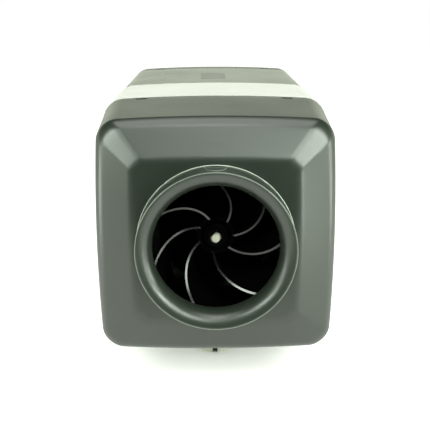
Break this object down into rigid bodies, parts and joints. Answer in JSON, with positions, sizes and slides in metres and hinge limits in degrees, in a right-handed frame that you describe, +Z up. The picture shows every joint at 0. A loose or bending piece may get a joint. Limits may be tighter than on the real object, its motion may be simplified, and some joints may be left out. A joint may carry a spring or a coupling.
{
  "type": "parking air heater",
  "caption": "Fuel-burning cabin air heater: moulded jacket with round duct collars, bladed hot-air fan in the inlet, heat exchanger on a foot with air and exhaust pipes.",
  "frame": {"origin": "centre of the mounting foot's underside", "axes": "+Z up from the foot, air flows along +Y, the inlet collar looks along -Y, +X to the right seen from the inlet"},
  "size_m": [0.121, 0.311, 0.1608],
  "materials": {
    "hood_plastic": "fine moulded texture, satin",
    "jacket_plastic": "fine moulded texture, satin",
    "band_film": "plain white film",
    "fan_plastic": "moulded black",
    "shaft_steel": "ground",
    "spring_steel": "oiled spring steel",
    "laminated_steel": "stamped laminations",
    "copper_winding": "enamelled copper wire",
    "zinc_sheet": "zinc-plated deep-drawn sheet",
    "ferrite": "sintered ferrite",
    "bearing_bronze": "sintered bronze",
    "cast_aluminium": "die cast",
    "pipe_aluminium": "drawn tube, dull",
    "screw_steel": "zinc-plated",
    "gasket_board": "fibre gasket",
    "heat_steel": "heat-stained stainless steel",
    "control_plastic": "moulded black",
    "sensor_plastic": "moulded dark grey",
    "grommet_rubber": "moulded rubber"
  },
  "bodies": {
    "housing": {"inlet_hood": "hood_plastic", "outlet_hood": "hood_plastic", "upper_jacket": "jacket_plastic", "lower_jacket": "jacket_plastic", "info_band": "band_film", "motor_can": "zinc_sheet", "magnet_ring": "ferrite", "front_bearing": "bearing_bronze", "rear_bearing": "bearing_bronze", "motor_plate": "cast_aluminium", "motor_screws": "screw_steel", "blower_housing": "cast_aluminium", "blower_cover": "cast_aluminium", "blower_gasket": "gasket_board", "flange_screws": "screw_steel", "burner_tube": "heat_steel", "evaporator_wick": "heat_steel", "glow_plug": "screw_steel", "heat_exchanger": "cast_aluminium", "mounting_foot": "cast_aluminium", "foot_studs": "screw_steel", "combustion_air_pipe": "pipe_aluminium", "exhaust_pipe": "pipe_aluminium", "fuel_pipe": "shaft_steel", "control_bracket": "zinc_sheet", "control_unit": "control_plastic", "control_screws": "screw_steel", "overheat_sensor": "sensor_plastic", "sensor_clip": "shaft_steel", "cable_grommet": "grommet_rubber"},
    "rotor": {"motor_shaft": "shaft_steel", "hot_air_fan": "fan_plastic", "fan_retainer": "spring_steel", "motor_armature": "laminated_steel", "motor_windings": "copper_winding", "combustion_impeller": "cast_aluminium"}
  },
  "joints": [
    {"name": "rotor_spin", "type": "hinge", "parent": "housing", "child": "rotor", "pos_m": [0, -0.128, 0.0665], "axis": [0, 1, 0], "continuous": true}
  ]
}
